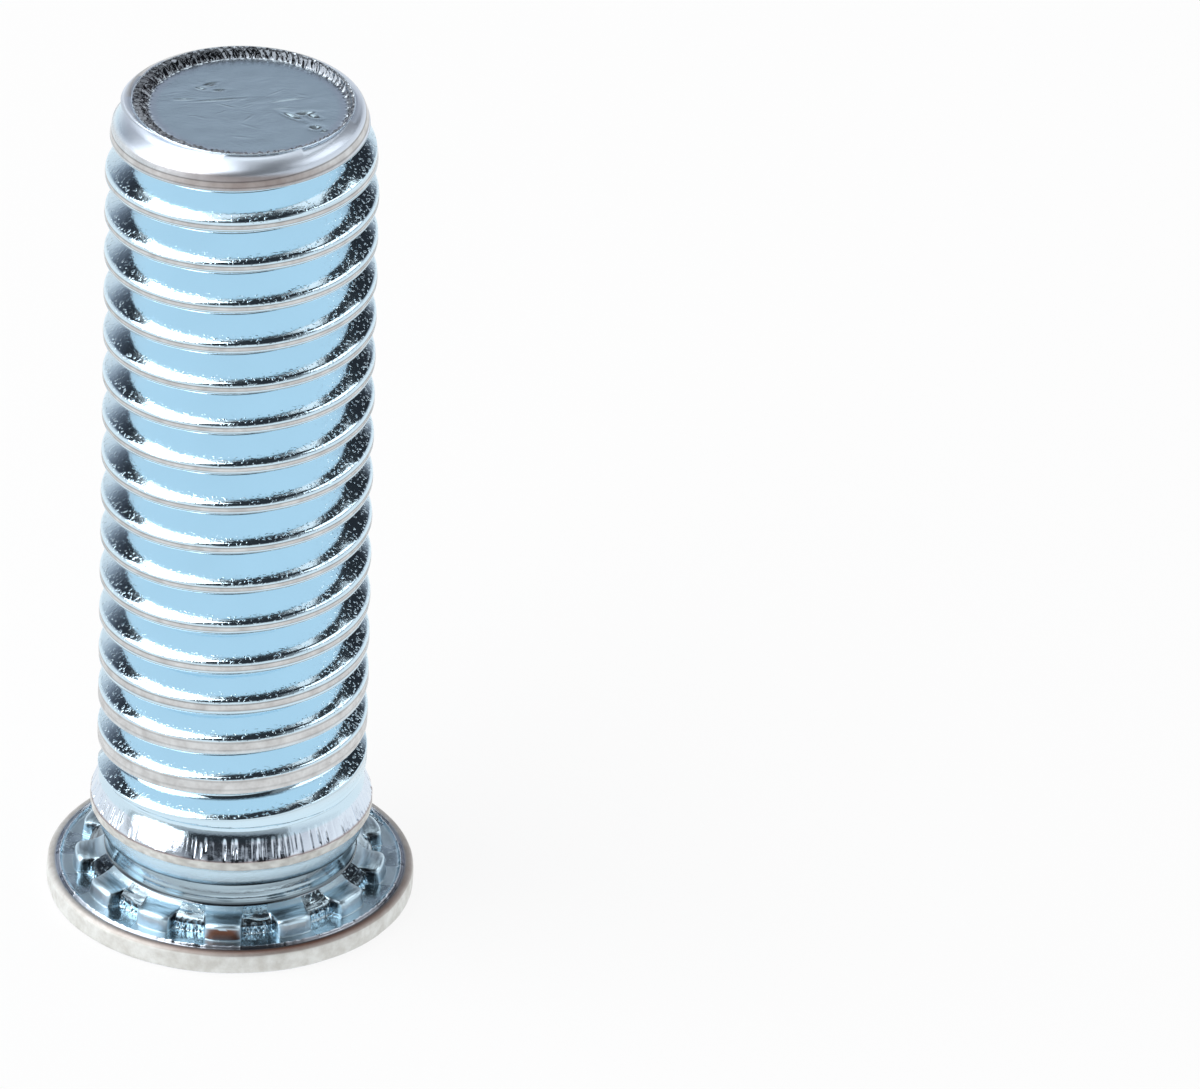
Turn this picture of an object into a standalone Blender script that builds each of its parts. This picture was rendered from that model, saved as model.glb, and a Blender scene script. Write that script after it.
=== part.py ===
"""Self-clinching stud with a flush head and an M6 x 1 rolled thread.

The stud is one piece of steel. It stands on the flat face of its head: the origin is at the
centre of that face, and +Z runs up the shank to the dished tip. From the bottom upwards it has
a thin round head, a ring of clinch ribs on the head, an undercut groove, a displacer collar with
a sharp edge and a flared top, a short neck, and the thread, which fades into the neck and into the
tip.
"""

import math

import bmesh
import bpy
from mathutils import Matrix, Vector

MM = 0.001

# Whole stud
STUD_LENGTH = 19.66 * MM
ROUND_STEPS = 40
SHARP_ANGLE = math.radians(25.0)
MERGE_DISTANCE = 0.0001 * MM

# Head
HEAD_OVERHANG = 0.945 * MM
HEAD_THICKNESS = 0.54 * MM
RIM_ROUND_BELOW = 0.10 * MM
RIM_ROUND_ABOVE = 0.18 * MM
RIM_TOP_STEPS = 3
RIM_FOOT_STEPS = 2
LIP_WIDTH = 0.12 * MM
POCKET_DEPTH = 0.05 * MM
POCKET_WALL_LEAN = 0.02 * MM

# Ledge that the ribs grow out of
LEDGE_WIDTH = 0.33 * MM
LEDGE_STEP = 0.31 * MM
LEDGE_SLOPE = 0.23 * MM

# Clinch ribs
RIB_COUNT = 13
RIB_FIRST_ANGLE = math.radians(-91.0)
RIB_WIDTH = 0.82 * MM
RIB_END_SETBACK = 0.62 * MM
RIB_END_HEIGHT = 0.38 * MM
RIB_END_ROUND = 0.08 * MM
RIB_CROWN_RISE = 0.11 * MM
RIB_END_LEAN = 0.03 * MM
RIB_SIDE_LEAN = 0.05 * MM
RIB_SINK = 0.15 * MM

# Undercut groove
GROOVE_DEPTH = 0.36 * MM
GROOVE_HEIGHT = 0.53 * MM
GROOVE_FILLET = 0.20 * MM
GROOVE_FILLET_STEPS = 3
GROOVE_ROOF_RISE = 0.02 * MM

# Displacer collar: a tapered wall, the sharp edge that stands out over it, and the flare above
WALL_HEIGHT = 0.49 * MM
WALL_TAPER = 0.085 * MM
EDGE_OVERHANG = 0.12 * MM
EDGE_UNDER_RISE = 0.02 * MM
EDGE_HEIGHT = 0.27 * MM
COLLAR_OVERHANG = 0.13 * MM
FLARE_HEIGHT = 0.40 * MM

# Neck between the flare and the thread
NECK_DEPTH = 0.11 * MM
NECK_BLEND_HEIGHT = 0.14 * MM
NECK_BLEND_RUN = 0.035 * MM
NECK_BLEND_STEPS = 2
NECK_HEIGHT = 0.08 * MM

# Thread
THREAD_RADIUS = 2.975 * MM
THREAD_PITCH = 1.0 * MM
THREAD_FLANK = math.radians(30.0)
THREAD_DEPTH_PER_PITCH = 0.585
CREST_FLAT_PER_PITCH = 0.24
CREST_HEIGHT_AT_X = 0.40 * MM
FADE_HEIGHT = 0.26 * MM
RUN_OUT_HEIGHT = 0.30 * MM
RIDGE_SINK = 0.05 * MM
LIMIT_CLEARANCE = 0.05 * MM
SPARE_TURNS = 1
RIDGE_START = 0.5 / ROUND_STEPS

# Tip
TIP_SETBACK = 0.545 * MM
TIP_TAPER = 2.00 * MM
TIP_TAPER_STEPS = 6
TIP_SHOULDER = 0.25 * MM
TIP_FOOT = 0.30 * MM
LIP_CREST = 0.05 * MM
DISH_DEPTH = 0.18 * MM
DISH_WALL = 0.24 * MM

# Levels above the flat face of the head
POCKET_LEVEL = HEAD_THICKNESS - POCKET_DEPTH
LEDGE_EDGE_LEVEL = POCKET_LEVEL + LEDGE_STEP
LEDGE_TOP_LEVEL = LEDGE_EDGE_LEVEL + LEDGE_SLOPE
GROOVE_ROOF_LEVEL = LEDGE_TOP_LEVEL + GROOVE_HEIGHT
WALL_FOOT_LEVEL = GROOVE_ROOF_LEVEL + GROOVE_ROOF_RISE
WALL_TOP_LEVEL = WALL_FOOT_LEVEL + WALL_HEIGHT
EDGE_UNDER_LEVEL = WALL_TOP_LEVEL + EDGE_UNDER_RISE
EDGE_TOP_LEVEL = EDGE_UNDER_LEVEL + EDGE_HEIGHT
FLARE_TOP_LEVEL = EDGE_TOP_LEVEL + FLARE_HEIGHT
NECK_LEVEL = FLARE_TOP_LEVEL + NECK_BLEND_HEIGHT
NECK_TOP_LEVEL = NECK_LEVEL + NECK_HEIGHT
RUN_OUT_LEVEL = NECK_TOP_LEVEL + RUN_OUT_HEIGHT
FULL_THREAD_LEVEL = FLARE_TOP_LEVEL + FADE_HEIGHT

# Radii
COLLAR_RADIUS = THREAD_RADIUS + COLLAR_OVERHANG
HEAD_RADIUS = COLLAR_RADIUS + HEAD_OVERHANG
WALL_TOP_RADIUS = COLLAR_RADIUS - EDGE_OVERHANG
WALL_FOOT_RADIUS = WALL_TOP_RADIUS - WALL_TAPER
GROOVE_RADIUS = COLLAR_RADIUS - GROOVE_DEPTH
LEDGE_RADIUS = GROOVE_RADIUS + LEDGE_WIDTH
NECK_RADIUS = THREAD_RADIUS - NECK_DEPTH
FLARE_TOP_RADIUS = NECK_RADIUS + NECK_BLEND_RUN
ROOT_RADIUS = THREAD_RADIUS - THREAD_DEPTH_PER_PITCH * THREAD_PITCH
LIMIT_RADIUS = THREAD_RADIUS + LIMIT_CLEARANCE
TIP_RADIUS = THREAD_RADIUS - TIP_SETBACK
RIM_TOP_RADIUS = HEAD_RADIUS - RIM_ROUND_ABOVE
POCKET_RADIUS = RIM_TOP_RADIUS - LIP_WIDTH
RIB_END_RADIUS = HEAD_RADIUS - RIB_END_SETBACK
RIB_ROOT_RADIUS = GROOVE_RADIUS - RIB_SINK


def remove_everything():
    """Empty the scene."""
    for item in list(bpy.data.objects):
        bpy.data.objects.remove(item, do_unlink=True)


def curve(start, corner, end, steps):
    """Points after start on a curve that leaves start towards corner and reaches end from it."""
    points = []
    for step in range(1, steps + 1):
        t = step / steps
        radius = (1 - t) ** 2 * start[0] + 2 * t * (1 - t) * corner[0] + t ** 2 * end[0]
        height = (1 - t) ** 2 * start[1] + 2 * t * (1 - t) * corner[1] + t ** 2 * end[1]
        points.append((radius, height))
    return points


def blank_profile():
    """Outline of the turned body, as (radius, height), from the tip down to the flat face."""
    lip_inner = TIP_RADIUS - LIP_CREST
    points = [(0.0, STUD_LENGTH - DISH_DEPTH)]
    points.append((lip_inner - DISH_WALL, STUD_LENGTH - DISH_DEPTH))
    points.append((lip_inner, STUD_LENGTH))
    points.append((TIP_RADIUS, STUD_LENGTH))
    points.append((ROOT_RADIUS, STUD_LENGTH - TIP_FOOT))

    neck_foot = (NECK_RADIUS, NECK_LEVEL)
    neck_corner = (NECK_RADIUS, (NECK_LEVEL + FLARE_TOP_LEVEL) / 2)
    points.append((ROOT_RADIUS, RUN_OUT_LEVEL))
    points.append((NECK_RADIUS, NECK_TOP_LEVEL))
    points.append(neck_foot)
    points += curve(neck_foot, neck_corner, (FLARE_TOP_RADIUS, FLARE_TOP_LEVEL), NECK_BLEND_STEPS)
    points.append((COLLAR_RADIUS, EDGE_TOP_LEVEL))
    points.append((COLLAR_RADIUS, EDGE_UNDER_LEVEL))
    points.append((WALL_TOP_RADIUS, WALL_TOP_LEVEL))
    points.append((WALL_FOOT_RADIUS, WALL_FOOT_LEVEL))
    points.append((GROOVE_RADIUS, GROOVE_ROOF_LEVEL))

    fillet_share = GROOVE_FILLET / (LEDGE_WIDTH + LEDGE_SLOPE)
    fillet_top = (GROOVE_RADIUS, LEDGE_TOP_LEVEL + GROOVE_FILLET)
    fillet_corner = (GROOVE_RADIUS, LEDGE_TOP_LEVEL)
    fillet_end = (
        GROOVE_RADIUS + LEDGE_WIDTH * fillet_share,
        LEDGE_TOP_LEVEL - LEDGE_SLOPE * fillet_share,
    )
    points.append(fillet_top)
    points += curve(fillet_top, fillet_corner, fillet_end, GROOVE_FILLET_STEPS)
    points.append((LEDGE_RADIUS, LEDGE_EDGE_LEVEL))
    points.append((LEDGE_RADIUS + POCKET_WALL_LEAN, POCKET_LEVEL))
    points.append((POCKET_RADIUS, POCKET_LEVEL))
    points.append((POCKET_RADIUS + POCKET_WALL_LEAN, HEAD_THICKNESS))

    rim_top = (RIM_TOP_RADIUS, HEAD_THICKNESS)
    rim_side_top = (HEAD_RADIUS, HEAD_THICKNESS - RIM_ROUND_ABOVE)
    rim_side_foot = (HEAD_RADIUS, RIM_ROUND_BELOW)
    points.append(rim_top)
    points += curve(rim_top, (HEAD_RADIUS, HEAD_THICKNESS), rim_side_top, RIM_TOP_STEPS)
    points.append(rim_side_foot)
    points += curve(
        rim_side_foot,
        (HEAD_RADIUS, 0.0),
        (HEAD_RADIUS - RIM_ROUND_BELOW, 0.0),
        RIM_FOOT_STEPS,
    )
    points.append((0.0, 0.0))
    return points


def thread_limit_profile():
    """Outline of the space that the thread may fill: it fades out at the neck and at the tip."""
    tip_edge = (TIP_RADIUS - RIDGE_SINK, STUD_LENGTH - LIP_CREST / 2)
    full_thread = (LIMIT_RADIUS, STUD_LENGTH - TIP_TAPER)
    shoulder = (LIMIT_RADIUS, STUD_LENGTH - TIP_SHOULDER)
    points = [(0.0, STUD_LENGTH - TIP_FOOT)]
    points.append((ROOT_RADIUS - RIDGE_SINK, STUD_LENGTH - TIP_FOOT))
    points.append(tip_edge)
    points += curve(tip_edge, shoulder, full_thread, TIP_TAPER_STEPS)
    points.append((LIMIT_RADIUS, FULL_THREAD_LEVEL))
    points.append((NECK_RADIUS - RIDGE_SINK, FLARE_TOP_LEVEL))
    points.append((0.0, FLARE_TOP_LEVEL))
    return points


def ridge_section():
    """Section of the thread ridge, as (radius, height from the crest's middle)."""
    half_crest = CREST_FLAT_PER_PITCH * THREAD_PITCH / 2
    base_radius = ROOT_RADIUS - RIDGE_SINK
    half_base = half_crest + (THREAD_RADIUS - base_radius) * math.tan(THREAD_FLANK)
    upper = [(base_radius, half_base), (THREAD_RADIUS, half_crest)]
    lower = [(radius, -height) for radius, height in reversed(upper)]
    return upper + lower


def make_object(name, form):
    """Turn a bmesh into an object with smooth round faces and sharp corners."""
    mesh = bpy.data.meshes.new(name)
    form.to_mesh(mesh)
    form.free()
    mesh.shade_smooth()
    mesh.set_sharp_from_angle(angle=SHARP_ANGLE)
    item = bpy.data.objects.new(name, mesh)
    bpy.context.scene.collection.objects.link(item)
    return item


def turned(name, profile):
    """Revolve a profile around Z."""
    form = bmesh.new()
    points = [form.verts.new((radius, 0.0, height)) for radius, height in profile]
    for upper, lower in zip(points, points[1:]):
        form.edges.new((upper, lower))
    bmesh.ops.spin(
        form,
        geom=form.verts[:] + form.edges[:],
        axis=(0, 0, 1),
        cent=(0, 0, 0),
        angle=math.tau,
        steps=ROUND_STEPS,
        use_merge=True,
    )
    bmesh.ops.remove_doubles(form, verts=form.verts[:], dist=MERGE_DISTANCE)
    bmesh.ops.recalc_face_normals(form, faces=form.faces[:])
    return make_object(name, form)


def helical_ridge(name):
    """Carry the ridge section up a right-hand helix, from below the neck to past the tip.

    It starts half a step round, so that its edges fall between those of the turned body.
    """
    first_turn = math.floor((FLARE_TOP_LEVEL - CREST_HEIGHT_AT_X) / THREAD_PITCH) - SPARE_TURNS
    last_turn = math.ceil((STUD_LENGTH - CREST_HEIGHT_AT_X) / THREAD_PITCH) + SPARE_TURNS
    turns = last_turn - first_turn
    start_turn = Matrix.Rotation(math.tau * RIDGE_START, 3, "Z")
    start_height = CREST_HEIGHT_AT_X + (first_turn + RIDGE_START) * THREAD_PITCH

    form = bmesh.new()
    corners = []
    for radius, height in ridge_section():
        corners.append(form.verts.new(start_turn @ Vector((radius, 0.0, start_height + height))))
    start_face = form.faces.new(corners)
    bmesh.ops.spin(
        form,
        geom=[start_face] + start_face.edges[:] + corners,
        axis=(0, 0, 1),
        cent=(0, 0, 0),
        dvec=(0, 0, THREAD_PITCH / ROUND_STEPS),
        angle=math.tau * turns,
        steps=ROUND_STEPS * turns,
    )
    open_edges = [edge for edge in form.edges if edge.is_boundary]
    if open_edges:
        bmesh.ops.holes_fill(form, edges=open_edges, sides=len(corners))
    bmesh.ops.recalc_face_normals(form, faces=form.faces[:])
    return make_object(name, form)


def clinch_ribs(name):
    """Ring of tapered ribs that rise from the pockets of the head and lean on the ledge."""
    foot_level = POCKET_LEVEL - RIB_SINK
    end_level = POCKET_LEVEL + RIB_END_HEIGHT
    section = [
        (RIB_ROOT_RADIUS, foot_level),
        (RIB_END_RADIUS + RIB_END_LEAN, foot_level),
        (RIB_END_RADIUS, end_level - RIB_END_ROUND),
        (RIB_END_RADIUS - RIB_END_ROUND, end_level),
        (RIB_ROOT_RADIUS, end_level + RIB_CROWN_RISE),
    ]
    half_foot = RIB_WIDTH / 2
    half_crown = half_foot - RIB_SIDE_LEAN
    half_widths = [half_foot, half_foot, half_crown, half_crown, half_crown]

    form = bmesh.new()
    for number in range(RIB_COUNT):
        turn = Matrix.Rotation(RIB_FIRST_ANGLE + number * math.tau / RIB_COUNT, 3, "Z")
        near = []
        far = []
        for (radius, height), half_width in zip(section, half_widths):
            near.append(form.verts.new(turn @ Vector((radius, -half_width, height))))
            far.append(form.verts.new(turn @ Vector((radius, half_width, height))))
        form.faces.new(near)
        form.faces.new(reversed(far))
        for here in range(len(section)):
            after = (here + 1) % len(section)
            form.faces.new((near[here], far[here], far[after], near[after]))
    bmesh.ops.recalc_face_normals(form, faces=form.faces[:])
    return make_object(name, form)


def combine(target, tool, operation):
    """Join a tool solid to the target, or keep only what lies inside both."""
    modifier = target.modifiers.new(tool.name, "BOOLEAN")
    modifier.operation = operation
    modifier.solver = "EXACT"
    modifier.object = tool
    tool.hide_render = True
    tool.display_type = "WIRE"


def zinc_plate():
    """Bright zinc plate with a pale blue passivated film."""
    material = bpy.data.materials.new("zinc_plate_blue_passivated")
    material.use_nodes = True
    shader = material.node_tree.nodes["Principled BSDF"]
    shader.inputs["Base Color"].default_value = (0.62, 0.72, 0.80, 1.0)
    shader.inputs["Metallic"].default_value = 1.0
    shader.inputs["Roughness"].default_value = 0.28
    return material


def build():
    """Model the stud as one solid."""
    remove_everything()
    stud = turned("clinch_stud", blank_profile())
    ridge = helical_ridge("thread_ridge")
    limit = turned("thread_limit", thread_limit_profile())
    ribs = clinch_ribs("clinch_ribs")
    combine(ridge, limit, "INTERSECT")
    combine(stud, ridge, "UNION")
    combine(stud, ribs, "UNION")
    stud.data.materials.append(zinc_plate())


build()
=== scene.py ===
"""Looks of a flush-head self-clinching stud, zinc plated with a pale blue passivated film.

The stud is one piece of steel. Its visible skin is worked out here in four closed solids that
meet at the real creases: the head with its clinch ribs, the displacer collar with its groove, the
rolled thread on its neck, and the dished tip. The stud's lengths are in millimetres until a mesh
or the camera is made, and the studio's are in metres. An azimuth is measured at the axis, from the
front (-Y) towards the right (+X).
"""

import logging
import math
from dataclasses import dataclass
from enum import Enum

import bpy
import numpy as np
from mathutils import Matrix, Vector


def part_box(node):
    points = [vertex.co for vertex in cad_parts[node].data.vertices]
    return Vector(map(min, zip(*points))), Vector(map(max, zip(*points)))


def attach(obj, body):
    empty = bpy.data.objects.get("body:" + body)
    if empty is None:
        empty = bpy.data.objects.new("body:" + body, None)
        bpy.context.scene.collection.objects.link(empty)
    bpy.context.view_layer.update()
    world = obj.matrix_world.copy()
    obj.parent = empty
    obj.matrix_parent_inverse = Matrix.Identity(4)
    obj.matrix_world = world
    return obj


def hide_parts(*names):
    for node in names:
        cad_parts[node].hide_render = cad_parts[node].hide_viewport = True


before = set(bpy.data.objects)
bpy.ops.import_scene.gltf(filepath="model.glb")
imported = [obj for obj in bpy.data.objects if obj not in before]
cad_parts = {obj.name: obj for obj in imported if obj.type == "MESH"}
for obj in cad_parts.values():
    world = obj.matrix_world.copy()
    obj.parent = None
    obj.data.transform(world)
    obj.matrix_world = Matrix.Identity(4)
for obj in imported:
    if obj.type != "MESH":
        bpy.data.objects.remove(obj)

Array = np.ndarray
Pair = tuple[float, float]
Span = tuple[float, float, float, float]
MM = 0.001
TURN = 2.0 * math.pi
NODE = "clinch_stud"
IMAGE_SIZE = (1200, 1089)

log = logging.getLogger("clinch_stud")


def smooth_step(value: Array, low: float, high: float) -> Array:
    """Rise from 0 at low to 1 at high along 3t^2 - 2t^3.

    Args:
        value: Numbers to map.
        low: Where the rise starts.
        high: Where it ends.

    Returns:
        The mapped numbers.
    """
    t = np.clip((value - low) / (high - low), 0.0, 1.0)
    return t * t * (3.0 - 2.0 * t)


def plateau(value: Array, span: Span) -> Array:
    """Rise from 0 to 1 between the span's first two numbers and fall back between its last two."""
    return smooth_step(value, span[0], span[1]) * (1 - smooth_step(value, span[2], span[3]))


def bell(value: Array, middle: float, width: float) -> Array:
    """Gaussian bump: exp(-((value - middle) / width)^2)."""
    return np.exp(-(((value - middle) / width) ** 2))


def soft_max(first: Array, second: Array, fillet: float) -> Array:
    """Larger of two heights with a fillet where they cross.

    The result is (a + b + sqrt((a - b)^2 + fillet^2)) / 2.

    Args:
        first: One surface.
        second: The other surface.
        fillet: How wide the fillet is.

    Returns:
        The joined surface.
    """
    return (first + second + np.sqrt((first - second) ** 2 + fillet**2)) / 2.0


def soft_min(first: Array, second: Array, fillet: float) -> Array:
    """Smaller of two heights with a rounded corner where they cross."""
    return -soft_max(-first, -second, fillet)


def moved(point: Pair, out: float, up: float) -> Pair:
    """Point of an outline that lies so far out and up from another one."""
    return point[0] + out, point[1] + up


def arc(start: Pair, corner: Pair, end: Pair, count: int) -> Array:
    """Quadratic curve that leaves start towards corner and reaches end from it.

    Point t is (1-t)^2 start + 2t(1-t) corner + t^2 end.

    Args:
        start: First point, as (radius, height).
        corner: Where the two tangents meet.
        end: Last point.
        count: How many points, both ends included.

    Returns:
        The points, one a row.
    """
    t = np.linspace(0.0, 1.0, count)[:, None]
    return (1 - t) ** 2 * np.array(start) + 2 * t * (1 - t) * np.array(corner) + t**2 * np.array(end)


def line(start: Pair, end: Pair, count: int) -> Array:
    """Evenly spaced points on a straight line, both ends included."""
    t = np.linspace(0.0, 1.0, count)[:, None]
    return (1 - t) * np.array(start) + t * np.array(end)


def joined(*parts: Array) -> Array:
    """Chain outlines, leaving out each point that repeats the one before it.

    Args:
        *parts: Outlines in the order in which they follow.

    Returns:
        All their points, one a row.
    """
    path = np.concatenate(parts)
    step = np.linalg.norm(np.diff(path, axis=0), axis=1)
    return path[np.concatenate(([True], step > 1e-9))]


def bend(start: Array, corner: Array, end: Array, share: Array) -> Array:
    """Quadratic curve in one coordinate: (1-t)^2 start + 2t(1-t) corner + t^2 end."""
    return (1 - share) ** 2 * start + 2 * share * (1 - share) * corner + share**2 * end


def ripples(x: Array, y: Array, length: float, seed: int, waves: int = 24) -> Array:
    """Seeded flat waves without a centre: a mean of cos(k . (x, y) + phase) over directions.

    Args:
        x: Places along X.
        y: Places along Y.
        length: Shortest wavelength.
        seed: Seed of the random directions and phases.
        waves: How many waves are added.

    Returns:
        Heights, with most of them between -1 and 1.
    """
    random = np.random.default_rng(seed)
    turn = random.uniform(0.0, TURN, waves)
    reach = TURN / length * random.uniform(0.3, 1.0, waves)
    phase = random.uniform(0.0, TURN, waves)
    along = np.multiply.outer(x, reach * np.cos(turn)) + np.multiply.outer(y, reach * np.sin(turn))
    return np.cos(along + phase).sum(axis=-1) / math.sqrt(waves / 2.0)


class Look(Enum):
    """Ways in which a relief's waves are shaped."""

    ROLLING = "rolling"
    TORN = "torn"


@dataclass(frozen=True)
class Relief:
    """Seeded unevenness that closes on itself round the axis.

    It is a sum of waves cos(n * angle + m * across + phase), with whole numbers n, so it has no
    seam. A torn relief folds each wave into sharp ridges with torn_mean - 2|cos|.
    """

    height: float
    along: float
    across: float
    seed: int
    look: Look = Look.ROLLING
    waves: int = 48
    radius: float = 3.0
    torn_mean: float = 1.27

    def at(self, angle: Array, across: Array) -> Array:
        """Height of the relief.

        Args:
            angle: Angle round the axis in radians.
            across: Distance across the surface.

        Returns:
            Heights, with most of them between -height and height.
        """
        random = np.random.default_rng(self.seed)
        most = TURN * self.radius / self.along
        turns = np.round(random.uniform(0.25, 1.0, self.waves) * most)
        rise = random.normal(0.0, 1.0, self.waves) * math.pi / self.across
        phase = random.uniform(0.0, TURN, self.waves)
        total = np.zeros(np.broadcast(angle, across).shape)
        for n, m, start in zip(turns, rise, phase):
            wave = np.cos(n * angle + m * across + start)
            total += wave if self.look is Look.ROLLING else self.torn_mean - 2.0 * np.abs(wave)
        return self.height * total / math.sqrt(self.waves / 2.0)


@dataclass(frozen=True)
class DieMarks:
    """Upright scores that the die leaves on a turned flare.

    Each score is a groove depth * exp(-(arc / width)^2), where arc is the distance round the axis
    from the score's own angle. Its ends fade out at seeded heights. Real scores are finer: these
    are as wide as they have to be to show in the render.
    """

    count: int
    width: float
    depth: float
    low: float
    high: float
    seed: int
    clean: Pair = (math.radians(226.0), math.radians(256.0))
    clean_share: float = 0.1
    fade: float = 0.04
    radius: float = 3.0

    def at(self, angle: Array, height: Array) -> Array:
        """How deep the scores are. The clean stretch of the flare has faint ones only.

        Args:
            angle: Angle round the axis in radians, one row.
            height: Height of each point, rows by columns.

        Returns:
            Depths of zero and up, rows by columns.
        """
        random = np.random.default_rng(self.seed)
        places = random.uniform(0.0, TURN, self.count)
        depths = self.depth * random.uniform(0.25, 1.0, self.count) ** 2
        is_clean = (places > self.clean[0]) & (places < self.clean[1])
        depths = np.where(is_clean, self.clean_share * depths, depths)
        widths = self.width * random.uniform(0.6, 1.4, self.count)
        span = self.high - self.low
        starts = self.low + span * np.maximum(random.uniform(-0.8, 0.5, self.count), 0.0)
        ends = self.high - span * np.maximum(random.uniform(-0.8, 0.5, self.count), 0.0)
        total = np.zeros(np.broadcast(angle, height).shape)
        for place, depth, width, start, end in zip(places, depths, widths, starts, ends):
            away = (angle - place + math.pi) % TURN - math.pi
            shown = plateau(height, (start, start + self.fade, end - self.fade, end))
            total += depth * bell(away * self.radius, 0.0, width) * shown
        return total


@dataclass
class Skin:
    """A closed surface: its points, its faces and a few marks at each point."""

    points: Array
    faces: list[Array]
    marks: dict[str, Array]

    def object(self, name: str, material: bpy.types.Material) -> bpy.types.Object:
        """Make a Blender object of the surface, with its place in its mesh.

        Args:
            name: Name of the object.
            material: Its only material.

        Returns:
            The new object, linked to the scene.
        """
        corners = np.concatenate([face.ravel() for face in self.faces])
        sides = np.concatenate([np.full(len(face), face.shape[1]) for face in self.faces])
        starts = np.concatenate(([0], np.cumsum(sides)[:-1]))
        mesh = bpy.data.meshes.new(name)
        mesh.vertices.add(len(self.points))
        mesh.vertices.foreach_set("co", (self.points * MM).astype(np.float32).ravel())
        mesh.loops.add(len(corners))
        mesh.loops.foreach_set("vertex_index", corners.astype(np.int32))
        mesh.polygons.add(len(sides))
        mesh.polygons.foreach_set("loop_start", starts.astype(np.int32))
        mesh.polygons.foreach_set("loop_total", sides.astype(np.int32))
        mesh.update(calc_edges=True)
        for mark, values in self.marks.items():
            layer = mesh.attributes.new(mark, "FLOAT", "POINT")
            layer.data.foreach_set("value", values.astype(np.float32))
        mesh.shade_smooth()
        mesh.materials.append(material)
        mesh.validate()
        item = bpy.data.objects.new(name, mesh)
        bpy.context.scene.collection.objects.link(item)
        triangles = int(np.sum(sides - 2))
        log.info("%s: %d points, %d triangles", name, len(self.points), triangles)
        return item


def turned_skin(points: Array, marks: dict[str, Array]) -> Skin:
    """Close a grid of rings into a solid.

    Row 0 is the top end and the last row the bottom end, and both lie on the axis. Columns run
    round the axis, counter-clockwise from above. Each end row becomes one pole.

    Args:
        points: Grid of points, rows by columns by 3.
        marks: Marks on the same grid.

    Returns:
        The closed surface, with its faces pointing out.
    """
    rows, columns = points.shape[:2]
    inner = points[1:-1].reshape(-1, 3)
    all_points = np.concatenate((points[:1, 0], inner, points[-1:, 0]))
    rings = 1 + np.arange((rows - 2) * columns).reshape(rows - 2, columns)
    after = np.roll(rings, -1, axis=1)
    quads = np.stack((rings[:-1], rings[1:], after[1:], after[:-1]), axis=-1).reshape(-1, 4)
    top = np.stack((np.zeros(columns, int), rings[0], after[0]), axis=-1)
    last = len(all_points) - 1
    bottom = np.stack((np.full(columns, last), after[-1], rings[-1]), axis=-1)
    flat = {}
    for name, grid in marks.items():
        flat[name] = np.concatenate((grid[:1, 0], grid[1:-1].ravel(), grid[-1:, 0]))
    return Skin(all_points, [quads, top, bottom], flat)


def polar(radius: Array, angle: Array, height: Array) -> Array:
    """Points from radius, angle round the axis and height: (r cos a, r sin a, z)."""
    radius, angle, height = np.broadcast_arrays(radius, angle, height)
    return np.stack((radius * np.cos(angle), radius * np.sin(angle), height), axis=-1)


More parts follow.
